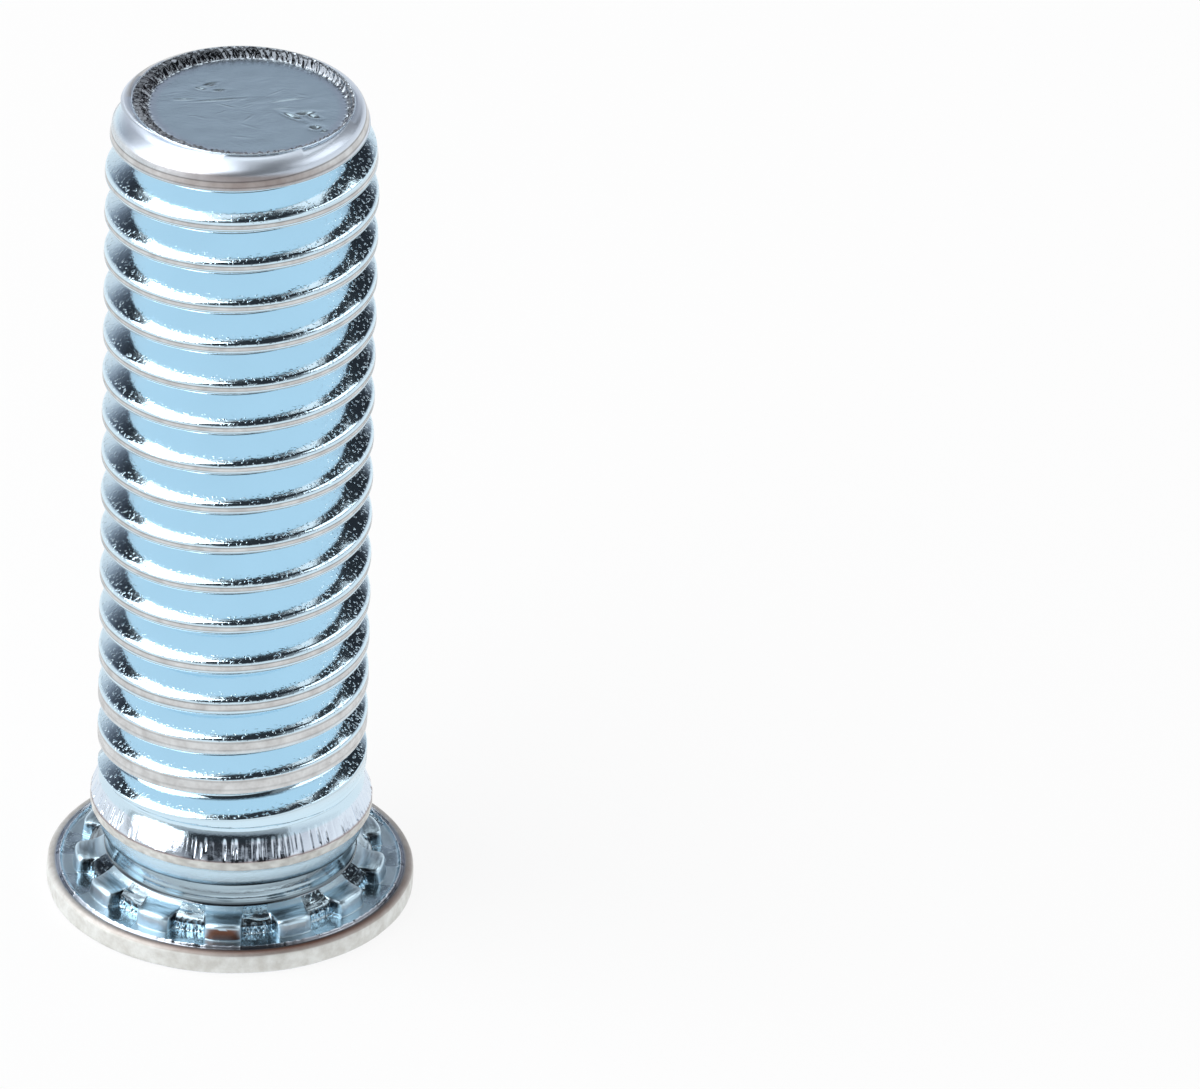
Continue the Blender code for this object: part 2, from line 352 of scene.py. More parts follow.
@dataclass
class FlushHead:
    """Thin round head with its coined pockets, thirteen clinch ribs and sloping ledge.

    A pair is how far a point lies out and up from the corner it rounds. A span holds the radii
    where a relief or a mark starts, is whole, starts to fade and has gone.
    """

    radius: float
    thickness: float = 0.54
    rim_round_above: float = 0.16
    rim_round_below: float = 0.10
    lip_radius: float = 3.76
    lip_rise: float = 0.03
    lip_inside: Pair = (-0.012, -0.02)
    lip_outside: Pair = (0.02, -0.02)
    lip_foot: float = 0.10
    valley_width: float = 0.09
    pocket_depth: float = 0.05
    groove_radius: float = 2.745
    ledge_top: float = 1.015
    ledge_edge_radius: float = 3.14
    ledge_edge: float = 0.757
    ledge_brow: Pair = (-0.06, 0.042)
    ledge_drop: Pair = (0.004, -0.06)
    wall_lean: float = 0.02
    wall_fillet: float = 0.05
    rib_count: int = 13
    rib_first_angle: float = math.radians(-91.0)
    rib_width: float = 0.82
    rib_start_radius: float = 2.94
    rib_brow: Pair = (0.08, -0.01)
    rib_nose: Pair = (-0.11, 0.015)
    rib_drop: float = 0.10
    rib_lean: float = 0.03
    rib_fillet: float = 0.04
    rib_end_radius: float = 3.43
    rib_end_top: float = 0.83
    rib_crown: float = 0.04
    rib_corner: float = 0.06
    rib_side_share: float = 0.42
    rib_side_round: float = 0.06
    rib_unevenness: float = 0.012
    rib_end_tone: Pair = (0.1, 0.6)
    rib_seed: int = 16
    lip_height: float = 0.45
    floor_span: Span = (3.18, 3.26, 3.66, 3.72)
    ledge_span: Span = (2.95, 3.0, 3.06, 3.12)
    slope_span: Span = (2.80, 2.84, 3.09, 3.13)
    rib_top_span: Span = (2.96, 3.03, 3.31, 3.37)
    wall_tear: Relief = Relief(0.012, 0.16, 0.8, 11, Look.TORN)
    floor_dents: Relief = Relief(0.004, 0.60, 0.30, 12)
    ledge_waves: Relief = Relief(0.006, 0.60, 0.16, 13)
    lip_tear: Relief = Relief(0.010, 0.26, 3.0, 14, Look.TORN)
    rim_waves: Relief = Relief(0.006, 1.20, 0.5, 15)
    ledge_streaks: Relief = Relief(0.5, 0.50, 0.06, 17)

    @property
    def floor(self) -> float:
        """Height of the pockets' floor."""
        return self.thickness - self.pocket_depth

    @property
    def start(self) -> Pair:
        """Where the ribs rise from the ledge."""
        return self.rib_start_radius, self.ledge_height(self.rib_start_radius)

    def ledge_height(self, radius: float) -> float:
        """Height of the sloping ledge at a radius, along its straight slope."""
        share = (radius - self.groove_radius) / (self.ledge_edge_radius - self.groove_radius)
        return self.ledge_top + share * (self.ledge_edge - self.ledge_top)

    def gap_outline(self) -> list[Array]:
        """Draw the outline between two ribs, in the stretches that the rib outline shares.

        Returns:
            Five stretches, from the ribs' start to the foot of the lip.
        """
        edge = (self.ledge_edge_radius, self.ledge_edge)
        brow = moved(edge, *self.ledge_brow)
        drop = moved(edge, *self.ledge_drop)
        foot = (edge[0] + self.wall_lean, self.floor)
        on_wall = moved(foot, 0.0, self.wall_fillet)
        on_floor = moved(foot, 0.06, 0.0)
        return [
            line(self.start, brow, 12),
            arc(brow, edge, drop, 6),
            line(drop, on_wall, 9),
            arc(on_wall, foot, on_floor, 5),
            line(on_floor, (self.lip_radius - self.lip_foot, self.floor), 14),
        ]

    def rib_outline(self) -> list[Array]:
        """Draw the outline along the middle of a rib, in the same stretches.

        Returns:
            Five stretches with as many points as those between two ribs.
        """
        end = (self.rib_end_radius, self.rib_end_top)
        brow = moved(self.start, *self.rib_brow)
        nose = moved(end, *self.rib_nose)
        drop = moved(end, 0.0, -self.rib_drop)
        foot = (end[0] + self.rib_lean, self.floor)
        on_end = moved(foot, 0.0, self.rib_fillet)
        on_floor = moved(foot, self.rib_fillet, 0.0)
        rise = arc(self.start, moved(self.start, 0.04, 0.01), brow, 4)
        return [
            np.concatenate((rise, line(brow, nose, 9)[1:])),
            arc(nose, end, drop, 6),
            line(drop, on_end, 9),
            arc(on_end, foot, on_floor, 5),
            line(on_floor, (self.lip_radius - self.lip_foot, self.floor), 14),
        ]

    def inner_outline(self) -> Array:
        """Draw the outline from the hidden top pole to where the ribs start.

        Returns:
            The points, one a row.
        """
        sunk_radius = self.groove_radius - 0.15
        sunk = (sunk_radius, self.ledge_height(sunk_radius))
        return joined(line((0.0, sunk[1]), sunk, 2), line(sunk, self.start, 7))

    def outer_outline(self) -> Array:
        """Draw the outline from the pockets over the lip, round the rim and under to the pole.

        Returns:
            The points, one a row.
        """
        top = self.thickness
        lip = (self.lip_radius, top + self.lip_rise)
        lip_foot = (self.lip_radius - self.lip_foot, self.floor)
        inside = moved(lip, *self.lip_inside)
        outside = moved(lip, *self.lip_outside)
        valley_end = (self.lip_radius + self.valley_width, top - 0.012)
        shoulder = (self.radius - self.rim_round_above, top)
        side = (self.radius, top - self.rim_round_above)
        foot = (self.radius, self.rim_round_below)
        under = (self.radius - self.rim_round_below, 0.0)
        halfway = (self.radius / 2, 0.0)
        return joined(
            arc(lip_foot, (self.lip_radius - 0.03, self.floor), inside, 6),
            arc(inside, moved(lip, 0.0, 0.012), outside, 5),
            arc(outside, (self.lip_radius + 0.05, top - 0.09), valley_end, 7),
            line(valley_end, shoulder, 3),
            arc(shoulder, (self.radius, top), side, 10),
            line(side, foot, 5),
            arc(foot, (self.radius, 0.0), under, 6),
            line(under, halfway, 5),
            line(halfway, (0.0, 0.0), 2),
        )

    def columns(self) -> tuple[Array, Array]:
        """Place of each column inside its rib's share of the circle, and how far it is a rib.

        Returns:
            Position from -1 to 1, where the rib's sides are at plus and minus rib_side_share, and
            the weight of the rib outline, which drops to 0 across the rounded sides.
        """
        side, bend_width = self.rib_side_share, self.rib_side_round
        outer, inner = side + bend_width, side - bend_width
        marks = np.array((-1.0, -outer, -inner, inner, outer, 1.0))
        counts = np.array((18, 12, 12, 12, 18))
        parts = [np.linspace(a, b, n, endpoint=False) for a, b, n in zip(marks[:-1], marks[1:], counts)]
        place = np.concatenate(parts)
        weight = 1.0 - smooth_step(np.abs(place), side - 0.03, side + 0.05)
        return place, weight

    def angles(self, radius: Array, place: Array) -> Array:
        """Angle of each point round the axis, with the rib's sides kept parallel.

        Inside a rib it is asin(offset / radius), and between ribs it runs evenly from side to side.

        Args:
            radius: Radius of each point, rows by columns.
            place: Place of each column inside its rib's share of the circle.

        Returns:
            Angles in radians, rows by columns.
        """
        period = TURN / self.rib_count
        share = self.rib_side_share
        reach = np.maximum(radius, self.rib_width)
        local = np.tile(place, self.rib_count)[None, :]
        side_angle = np.arcsin(self.rib_width / 2 / reach)
        within = np.arcsin(np.clip(local / share, -1, 1) * self.rib_width / 2 / reach)
        past_side = (np.abs(local) - share) / (1 - share) * (period / 2 - side_angle)
        beyond = np.sign(local) * (side_angle + past_side)
        number = np.repeat(np.arange(self.rib_count), len(place))[None, :]
        return self.rib_first_angle + number * period + np.where(np.abs(local) <= share, within, beyond)

    def build(self) -> Skin:
        """Blend the gap outline into the rib outline round the axis and close the solid.

        A point is (1 - w) * gap + w * rib, where w is the column's weight.

        Returns:
            The head's skin.
        """
        place, weight = self.columns()
        inner = self.inner_outline()
        outer = self.outer_outline()
        gap = joined(*self.gap_outline())
        rib = np.concatenate([part if n == 0 else part[1:] for n, part in enumerate(self.rib_outline())])
        sides = np.tile(weight, self.rib_count)[None, :]
        random = np.random.default_rng(self.rib_seed)
        lift = np.repeat(random.normal(0.0, self.rib_unevenness, self.rib_count), len(place))[None, :]
        # Each rib's end is browned by a random amount, the front rib's fully.
        tones = random.uniform(*self.rib_end_tone, self.rib_count)
        tones[0] = 1.0
        tone = np.repeat(tones, len(place))[None, :]
        across = np.clip(np.tile(place, self.rib_count)[None, :] / self.rib_side_share, -1, 1)
        on_top = smooth_step(rib[:, :1], self.rib_start_radius, self.rib_start_radius + 0.25)
        on_top = on_top * (rib[:, 1:] > 0.6)
        on_end = smooth_step(rib[:, :1], self.rib_end_radius - 0.25, self.rib_end_radius)
        rib_radius = rib[:, :1] - on_end * self.rib_corner * across**4
        crown = self.rib_crown * (1 - across**2)
        rib_height = rib[:, 1:] + on_top * (lift + crown - 0.03 * across**8)
        columns = sides.shape[1]
        radius, height = (
            np.concatenate(
                (
                    np.repeat(inner[:-1, axis : axis + 1], columns, axis=1),
                    (1 - sides) * gap[:, axis : axis + 1] + sides * ribs,
                    np.repeat(outer[1:, axis : axis + 1], columns, axis=1),
                )
            )
            for axis, ribs in enumerate((rib_radius, rib_height))
        )
        angle = self.angles(radius, place)

        bare = 1.0 - sides
        on_wall = bell(radius, self.ledge_edge_radius + 0.01, 0.035)
        on_wall = on_wall * (height < self.ledge_edge) * (height > self.floor + 0.01)
        on_floor = plateau(radius, self.floor_span) * (height < self.floor + 0.02)
        on_ledge = plateau(radius, self.ledge_span) * (height > 0.7)
        on_lip = bell(radius, self.lip_radius, 0.04) * (height > self.floor)
        on_rim = smooth_step(radius, 3.86, 3.95)
        radius = radius + bare * on_wall * (self.wall_tear.at(angle, height * 3) - 0.01)
        height = height + on_floor * self.floor_dents.at(angle, radius)
        height = height + on_ledge * bare * self.ledge_waves.at(angle, radius)
        height = height + on_lip * self.lip_tear.at(angle, radius * 0)
        radius = radius + on_rim * np.minimum(self.rim_waves.at(angle, height), 0.0)
        radius = np.minimum(radius, self.radius)
        height = np.maximum(height, 0.0)
        return turned_skin(polar(radius, angle, height), self.marks(radius, angle, height, sides, tone))

    def marks(
        self, radius: Array, angle: Array, height: Array, sides: Array, tone: Array
    ) -> dict[str, Array]:
        """Say where the head is rubbed, filmed, satin, pitted, browned and painted with shade.

        Args:
            radius: Radius of each point, rows by columns.
            angle: Its angle round the axis.
            height: Its height.
            sides: How far each column is a rib.
            tone: How brown the end of the rib of each column is.

        Returns:
            The marks on the same grid.
        """
        bare = 1.0 - sides
        above = height > 0.2
        front = (0.5 - 0.5 * np.sin(angle - math.radians(25.0))) ** 3
        left = smooth_step(-np.cos(angle), 0.10, 0.60)
        streaks = np.clip(0.5 + self.ledge_streaks.at(angle, radius), 0, 1)
        on_slope = plateau(radius, self.slope_span) * (height > 0.75)
        on_edge = bell(radius, self.ledge_edge_radius + 0.004, 0.04) * (height > 0.66)
        on_end = bell(radius, self.rib_end_radius + 0.01, 0.05) * (height < self.rib_end_top - 0.07)
        on_end = on_end * (height > self.floor + 0.03)
        on_top = plateau(radius, self.rib_top_span) * (height > 0.7)
        on_side = 4 * sides * (1 - sides) * smooth_step(radius, self.rib_start_radius + 0.10, 3.10)
        on_side = on_side * (height > self.floor + 0.06)
        on_floor = (1 - smooth_step(radius, 3.66, 3.72)) * (height < self.floor + 0.03) * above
        past_lip = bell(radius, self.lip_radius + 0.17, 0.12) * (height > self.lip_height)
        in_valley = bell(radius, self.lip_radius + 0.10, 0.07) * (height > 0.4)
        # The shade mark is painted shade: streaky on the ledge's slope and heavier on its left, on the rib
        # tops and down their sides, along the ledge's edge, on the pocket floors, and in the valley past
        # the lip, darkest towards the front.
        shade = (
            bare * (0.12 + 0.35 * streaks + 0.40 * left) * on_slope
            + (0.30 + 0.30 * streaks) * sides * on_top
            + bare * on_edge
            + 0.75 * on_side
            + 0.30 * on_floor
            + (0.15 + 0.70 * front) * in_valley
        )
        return {
            "rubbed": np.maximum(smooth_step(radius, 3.83, 3.90) * (height > 0.02), 0.25 * bare * on_slope),
            "film": 1.0 - smooth_step(radius, 3.70, 3.80),
            "satin": np.maximum(0.35 * smooth_step(radius, 3.0, 3.2), 0.75 * sides * above),
            "grit": 0.45 * above * (1 - smooth_step(radius, 3.76, 3.80)),
            # The brown line past the lip is painted shade, heaviest at the front. The rib ends are browned
            # by a random amount, fully on the front rib.
            "stain_and_painted_shade": np.clip((0.15 + 0.85 * front) * past_lip + tone * sides * on_end, 0, 1),
            "shade": np.clip(shade, 0, 1),
        }


@dataclass
class Collar:
    """Displacer collar: undercut groove below it, sharp edge, and a flare with die streaks.

    A turned line in the groove is given by how far it stands out, its height and its width.
    """

    groove_radius: float = 2.745
    fillet_start: float = 1.24
    fillet_end: Pair = (2.80, 0.975)
    foot: float = 0.80
    wall_foot: Pair = (2.90, 1.58)
    wall_top: Pair = (2.97, 2.05)
    edge_radius: float = 3.105
    edge_foot: float = 2.09
    edge_top: float = 2.285
    flare_belly: Pair = (3.02, 2.52)
    flare_top: Pair = (2.895, 2.80)
    neck_top: Pair = (2.825, 3.01)
    corner: float = 0.012
    columns: int = 1280
    neck_span: Span = (2.70, 2.75, 2.98, 3.01)
    groove_span: Span = (0.80, 0.85, 1.48, 1.54)
    turned_lines: tuple[tuple[float, float, float], ...] = ((0.010, 1.19, 0.018), (0.008, 1.12, 0.015))
    die_marks: DieMarks = DieMarks(430, 0.020, 0.030, 2.31, 2.72, 21)
    edge_waves: Relief = Relief(0.004, 0.35, 0.3, 22)
    edge_soil: Relief = Relief(0.5, 0.30, 0.08, 23)
    groove_lines: Relief = Relief(0.5, 3.0, 0.035, 24)

    def outline(self) -> Array:
        """Draw the outline from the hidden top pole, over collar and groove, to the bottom pole.

        Returns:
            The points, one a row.
        """
        bit = self.corner
        top = (self.edge_radius, self.edge_top)
        top_above, top_below = moved(top, -0.3 * bit, bit), moved(top, 0.0, -bit)
        foot = (self.edge_radius, self.edge_foot)
        foot_above, foot_inside = moved(foot, 0.0, bit), moved(foot, -bit, -0.3 * bit)
        sunk = moved(self.neck_top, -0.1, 0.0)
        under = moved(self.wall_top, 0.03, 0.02)
        wall_high = moved(self.wall_top, -0.004, -0.03)
        wall_low = moved(self.wall_foot, 0.003, 0.02)
        roof_out = moved(self.wall_foot, -0.02, -0.01)
        roof_in = (self.groove_radius + 0.03, self.wall_foot[1] - 0.02)
        groove_top = (self.groove_radius, self.wall_foot[1] - 0.08)
        groove_low = (self.groove_radius, self.fillet_start)
        fillet_corner = (self.groove_radius, self.fillet_end[1] + 0.05)
        sunk_foot = (self.fillet_end[0] + 0.04, self.foot)
        return joined(
            line((0.0, self.neck_top[1]), sunk, 2),
            line(sunk, self.neck_top, 2),
            arc(self.neck_top, (2.850, 2.90), self.flare_top, 6),
            arc(self.flare_top, self.flare_belly, top_above, 11),
            arc(top_above, top, top_below, 3),
            line(top_below, foot_above, 4),
            arc(foot_above, foot, foot_inside, 3),
            line(foot_inside, under, 2),
            arc(under, self.wall_top, wall_high, 4),
            line(wall_high, wall_low, 5),
            arc(wall_low, self.wall_foot, roof_out, 3),
            line(roof_out, roof_in, 2),
            arc(roof_in, (self.groove_radius, roof_in[1]), groove_top, 4),
            line(groove_top, groove_low, 6),
            arc(groove_low, fillet_corner, self.fillet_end, 12),
            line(self.fillet_end, sunk_foot, 2),
            line(sunk_foot, (0.0, self.foot), 2),
        )

    def build(self) -> Skin:
        """Turn the outline round the axis, with die streaks pressed into the flare.

        Returns:
            The collar's skin.
        """
        path = self.outline()
        angle = np.linspace(0.0, TURN, self.columns, endpoint=False)[None, :]
        radius = np.repeat(path[:, :1], self.columns, axis=1)
        height = np.repeat(path[:, 1:], self.columns, axis=1)
        on_edge = bell(radius, self.edge_radius, 0.012) * (height > self.edge_foot - 0.02)
        on_groove = (height < self.wall_foot[1]) * (radius > 1.0) * (height > self.foot + 0.01)
        radius = radius - self.die_marks.at(angle, height) * (radius > self.neck_top[0] - 0.05)
        radius = radius + on_edge * np.minimum(self.edge_waves.at(angle, height), 0.002)
        raised = sum(rise * bell(height, middle, width) for rise, middle, width in self.turned_lines)
        radius = radius + on_groove * raised
        return turned_skin(polar(radius, angle, height), self.marks(radius, angle, height))

    def marks(self, radius: Array, angle: Array, height: Array) -> dict[str, Array]:
        """Say where the collar is rubbed, filmed, satin, browned and painted with shade.

        Args:
            radius: Radius of each point, rows by columns.
            angle: Its angle round the axis.
            height: Its height.

        Returns:
            The marks on the same grid.
        """
        everywhere = np.ones_like(radius)
        tone = np.clip(0.5 + self.edge_soil.at(angle, height), 0, 1)
        lines = np.clip(0.5 + self.groove_lines.at(angle, height), 0, 1)
        rubbed = bell(radius, self.edge_radius, 0.02) * (height < self.edge_top + 0.01)
        rubbed = np.clip(1.3 * rubbed * (height > self.edge_foot - 0.03), 0, 1)
        above_edge = bell(height, self.edge_top + 0.014, 0.016) * (radius > self.groove_radius + 0.2)
        at_fillet = bell(height, self.fillet_end[1] + 0.01, 0.02) * (radius > self.groove_radius - 0.1)
        at_wall_foot = bell(height, self.wall_foot[1] + 0.015, 0.03) * (radius > self.wall_foot[0] - 0.06)
        at_neck_top = bell(height, self.neck_top[1] - 0.02, 0.025)
        on_neck = plateau(height, self.neck_span)
        on_wall = (height < self.edge_foot) * (height > self.wall_foot[1])
        below_wall = height < self.wall_foot[1]
        in_groove = plateau(height, self.groove_span)
        # The shade mark is painted shade on the neck, under the last crest, at the wall's foot and in the
        # groove, and grey soil mottled on the rubbed edge.
        groove_shade = in_groove * (0.22 + 0.36 * lines + 0.45 * bell(height, 1.03, 0.05))
        shade = 0.05 * on_neck + 0.15 * rubbed * tone + 0.6 * at_neck_top + at_wall_foot + groove_shade
        return {
            "rubbed": rubbed,
            "film": (0.1 + 0.9 * on_wall + 0.9 * below_wall + 0.8 * on_neck) * everywhere,
            "satin": 0.4 * on_wall * everywhere,
            "grit": 0.0 * everywhere,
            # The brown is soil mottled on the rubbed edge, a dark line just above the edge, and painted
            # shade at the groove's foot.
            "stain_and_painted_shade": np.clip(0.06 * rubbed * tone + 0.8 * above_edge + 0.5 * at_fillet, 0, 1),
            "shade": np.clip(shade, 0, 1),
        }


@dataclass
class RolledThread:
    """M6 x 1 right-hand rolled thread on its neck, with its first turns tapered to the tip.

    A pair is the two heights between which something changes along the thread. The flat row is the
    section's first row on the crest's flat. From it up, the rubbed rows say how rubbed each row is.
    A line row is its distance from the flat row and how dark the painted shade along it is. A
    seam is its share of the seams' depth, its place on the crest from -1 to 1, and its width.
    """

    length: float
    radius: float = 2.975
    pitch: float = 1.0
    crest_at_x: float = 0.375
    crest_half_top: float = 0.055
    crest_half_foot: float = 0.16
    shoulder_above_top: float = 0.16
    shoulder_above_foot: float = 0.05
    shoulder_below: float = 0.05
    root_round: float = 0.025
    crest_crown: float = 0.004
    seam_depth: float = 0.014
    flank_above: float = math.radians(58.5)
    flank_below: float = math.radians(61.0)
    neck_radius: float = 2.835
    neck_top: float = 2.98
    run_out_end: float = 3.27
    fade_low: float = 3.03
    fade_high: float = 3.09
    foot: float = 2.62
    tip_radius: float = 2.42
    taper: float = 1.80
    taper_flat: float = 0.07
    root_radius_top: float = 2.40
    columns: int = 160
    flat_row: int = 10
    crest_waves: Relief = Relief(0.004, 0.9, 0.2, 34)
    ding_angle: float = math.radians(235.0)
    ding_height: float = 12.21
    ding_depth: float = 0.030
    tip_drop: float = 0.03
    cap_depth: float = 0.25
    blend: float = 0.02
    crest_narrows: Pair = (3.0, 9.0)
    shoulder_grows: Pair = (3.2, 4.6)
    worn_whole: Pair = (4.6, 6.4)
    rubbed_rows: tuple[float, ...] = (0.2, 0.3, 1.0, 1.0, 1.0, 1.0, 1.0, 1.0, 0.4)
    line_rows: tuple[tuple[int, float], ...] = ((-1, 0.8), (2, 0.45), (7, 0.6))
    seams: tuple[tuple[float, float, float], ...] = ((1.0, 0.20, 0.16), (0.7, -0.50, 0.14))

    def section(self, half: Array, shoulder: Array, cut: Array) -> tuple[Array, Array]:
        """One pitch of the thread, from the root below the crest to the end of the flank above.

        The crest is flat with two rolled seams. Above it a broad arc turns the surface to the
        upper flank, and below it a small arc turns to the lower flank. The flanks are straight
        and meet in the root's fillet, at rise x where both have the same depth:
        x = (dl - du + xu tan(u) + (pitch - xl) tan(l)) / (tan(u) + tan(l)).
        Where the taper cuts the crest off, the flat starts lower down on the lower flank.

        Args:
            half: Half of the crest's flat width at each column.
            shoulder: Radius of the arc above the crest at each column.
            cut: How much the taper takes off the crest at each column.

        Returns:
            Depth below the crest's radius and height from the crest's middle, columns by rows.
        """
        half, shoulder, cut = half[:, None], shoulder[:, None], cut[:, None]
        up, low = self.flank_above, self.flank_below
        slope_up, slope_low = math.tan(up), math.tan(low)
        edge = self.crest_crown
        rise_up = half + shoulder * math.sin(up)
        drop_up = edge + shoulder * (1 - math.cos(up))
        rise_low = half + self.shoulder_below * math.sin(low)
        drop_low = edge + self.shoulder_below * (1 - math.cos(low))
        root = (drop_low - drop_up + rise_up * slope_up + (self.pitch - rise_low) * slope_low) / (
            slope_up + slope_low
        )
        depth = drop_up + (root - rise_up) * slope_up
        reach = self.root_round * math.tan((up + low) / 2)
        end_rise, end_drop = root - reach * math.cos(up), depth - reach * math.sin(up)
        start_rise = root - self.pitch + reach * math.cos(low)
        start_drop = depth - reach * math.sin(low)
        is_cut = smooth_step(cut, drop_low, drop_low + 0.02)
        edge_drop = np.maximum(cut, drop_low)
        edge_rise = -rise_low - (edge_drop - drop_low) / slope_low

        share = np.linspace(0.0, 1.0, 4)[None, 1:]
        root_rise = bend(end_rise - self.pitch, root - self.pitch, start_rise, share)
        root_drop = bend(end_drop, depth, start_drop, share)
        flank = np.array((0.06, 0.5, 0.94))[None, :]
        under_rise = start_rise + flank * (edge_rise - start_rise)
        under_drop = start_drop + flank * (edge_drop - start_drop)
        turn = np.linspace(low, 0.0, 5)[None, :-1]
        low_rise = -half - self.shoulder_below * np.sin(turn)
        low_drop = edge + self.shoulder_below * (1 - np.cos(turn)) + 0.0 * half
        near = edge_rise + 0.004 * np.arange(4)[None, :]
        low_rise = (1 - is_cut) * low_rise + is_cut * near
        low_drop = (1 - is_cut) * low_drop + is_cut * edge_drop
        place = np.linspace(-1.0, 1.0, 8)[None, :]
        seams = self.seam_depth * sum(deep * bell(place, at, width) for deep, at, width in self.seams)
        flat_rise = (1 - is_cut) * place * half + is_cut * (
            edge_rise + 0.03 + (place + 1) / 2 * (half - edge_rise - 0.03)
        )
        flat_drop = (1 - is_cut) * (seams + edge * place**2) + 0.0 * half
        turn = np.linspace(0.0, up, 7)[None, 1:]
        up_rise = half + shoulder * np.sin(turn)
        up_drop = edge + shoulder * (1 - np.cos(turn))
        flank = np.linspace(0.0, 1.0, 4)[None, 1:]
        flank_rise = rise_up + flank * (end_rise - rise_up)
        flank_drop = drop_up + flank * (end_drop - drop_up)
        drop = np.concatenate((root_drop, under_drop, low_drop, flat_drop, up_drop, flank_drop), axis=1)
        rise = np.concatenate((root_rise, under_rise, low_rise, flat_rise, up_rise, flank_rise), axis=1)
        return drop, rise

    def limit(self, height: Array) -> Array:
        """Largest radius that the thread may have: it tapers along a curve to the tip's edge.

        Args:
            height: Heights to ask for.

        Returns:
            The radius at each height.
        """
        edge = (self.tip_radius, self.length - self.tip_drop)
        brow = (2.76, self.length - 0.32)
        path = joined(
            arc(edge, (2.70, self.length - 0.11), brow, 30),
            arc(brow, (2.87, self.length - 0.66), (self.radius + 0.01, self.length - self.taper), 30),
        )
        return np.interp(height, path[::-1, 1], path[::-1, 0])

    def body(self, height: Array) -> Array:
        """Radius of the turned body under the thread: the neck, the run-out and the tip's foot.

        Args:
            height: Heights to ask for.

        Returns:
            The radius at each height.
        """
        deep = self.root_radius_top - 0.10
        neck = self.neck_radius + 0.05 * (self.neck_top - height)
        gone = smooth_step(height, self.neck_top, self.run_out_end)
        run_out = self.neck_radius - (self.neck_radius - deep) * gone
        tip = deep + (self.tip_radius - deep) * smooth_step(height, self.length - 0.34, self.length - 0.04)
        return np.where(height < self.neck_top, neck, np.where(height < self.length / 2, run_out, tip))

    def surface(self, angle: Array, height: Array, drop: Array) -> tuple[Array, Array]:
        """Hold the ridge inside the taper and on the turned body.

        The radius is max(min(ridge, limit), body) with small fillets, less one oval ding.

        Args:
            angle: Angle of each point round the axis, columns by rows.
            height: Its height.
            drop: Its depth below the crest.

        Returns:
            The radius of each point, and how far the taper has cut the ridge there.
        """
        fade = smooth_step(height, self.fade_low, self.fade_high)
        ridge = np.minimum(self.radius - drop, self.neck_radius + fade * (self.radius - self.neck_radius))
        ridge = ridge + bell(drop, 0.0, 0.02) * np.minimum(self.crest_waves.at(angle, height), 0.0)
        flat = self.taper_flat * np.maximum(np.cos(angle), 0.0) ** 2
        flat = flat * bell(height, self.length - 0.32, 0.26)
        radius = soft_min(ridge, self.limit(height) - flat, self.blend)
        clipped = smooth_step(ridge - radius, 0.02, 0.05)
        radius = soft_max(radius, self.body(height), self.blend)
        away = (angle - self.ding_angle) * self.radius
        ding = bell(away, 0.0, 0.16) * bell(height, self.ding_height, 0.08)
        return np.minimum(radius - self.ding_depth * ding, self.radius), clipped

    def marks(
        self, middle: Array, angle: Array, height: Array, drop: Array, radius: Array, clipped: Array
    ) -> dict[str, Array]:
        """Say where the thread is rubbed, filmed, satin, pitted, browned and painted with shade.

        Args:
            middle: Height of each column's crest.
            angle: Angle of each point round the axis, columns by rows.
            height: Its height.
            drop: Its depth below the crest.
            radius: Its radius.
            clipped: How far the taper has cut the ridge there.

        Returns:
            The marks on the same grid.
        """
        rows = drop.shape[1]
        rubbed_rows, line_rows = np.zeros(rows), np.zeros(rows)
        rubbed_rows[self.flat_row : self.flat_row + len(self.rubbed_rows)] = self.rubbed_rows
        for row, strength in self.line_rows:
            line_rows[self.flat_row + row] = strength
        wide = 1 - smooth_step(middle, *self.worn_whole)[:, None]
        worn_rows = rubbed_rows + wide * ((rubbed_rows > 0.0) - rubbed_rows)
        present = smooth_step(height, self.neck_top, self.neck_top + 0.8)
        band = clipped * smooth_step(radius, 2.75, 2.78)
        front = (0.5 - 0.5 * np.sin(angle - math.radians(5.0))) ** 8
        right = smooth_step(np.cos(angle), 0.62, 0.80)
        left = smooth_step(-np.cos(angle), 0.62, 0.80)
        near_crest = (1 - smooth_step(drop, 0.14, 0.28)) * (drop > 0.01)
        grit = np.clip(0.08 + 0.5 * near_crest + 0.35 * right + 0.10 * left, 0, 0.75)
        chamfer = smooth_step(height, self.length - 0.65, self.length - 0.45) * clipped
        chamfer = np.maximum(chamfer, smooth_step(height, self.length - 0.50, self.length - 0.38))
        return {
            "rubbed": np.maximum(worn_rows * present, 0.8 * band),
            "film": 1.0 - chamfer,
            "satin": 0.9 * chamfer,
            # Painted shade browns the front of the first crest, where the taper cuts it.
            "stain_and_painted_shade": 0.50 * band * front,
            "grit": grit * (1 - 0.7 * chamfer),
            # Painted shade draws dark lines along some crest rows, fainter on the turns near the head.
            "shade": line_rows * (1 - 0.5 * wide) * present,
        }

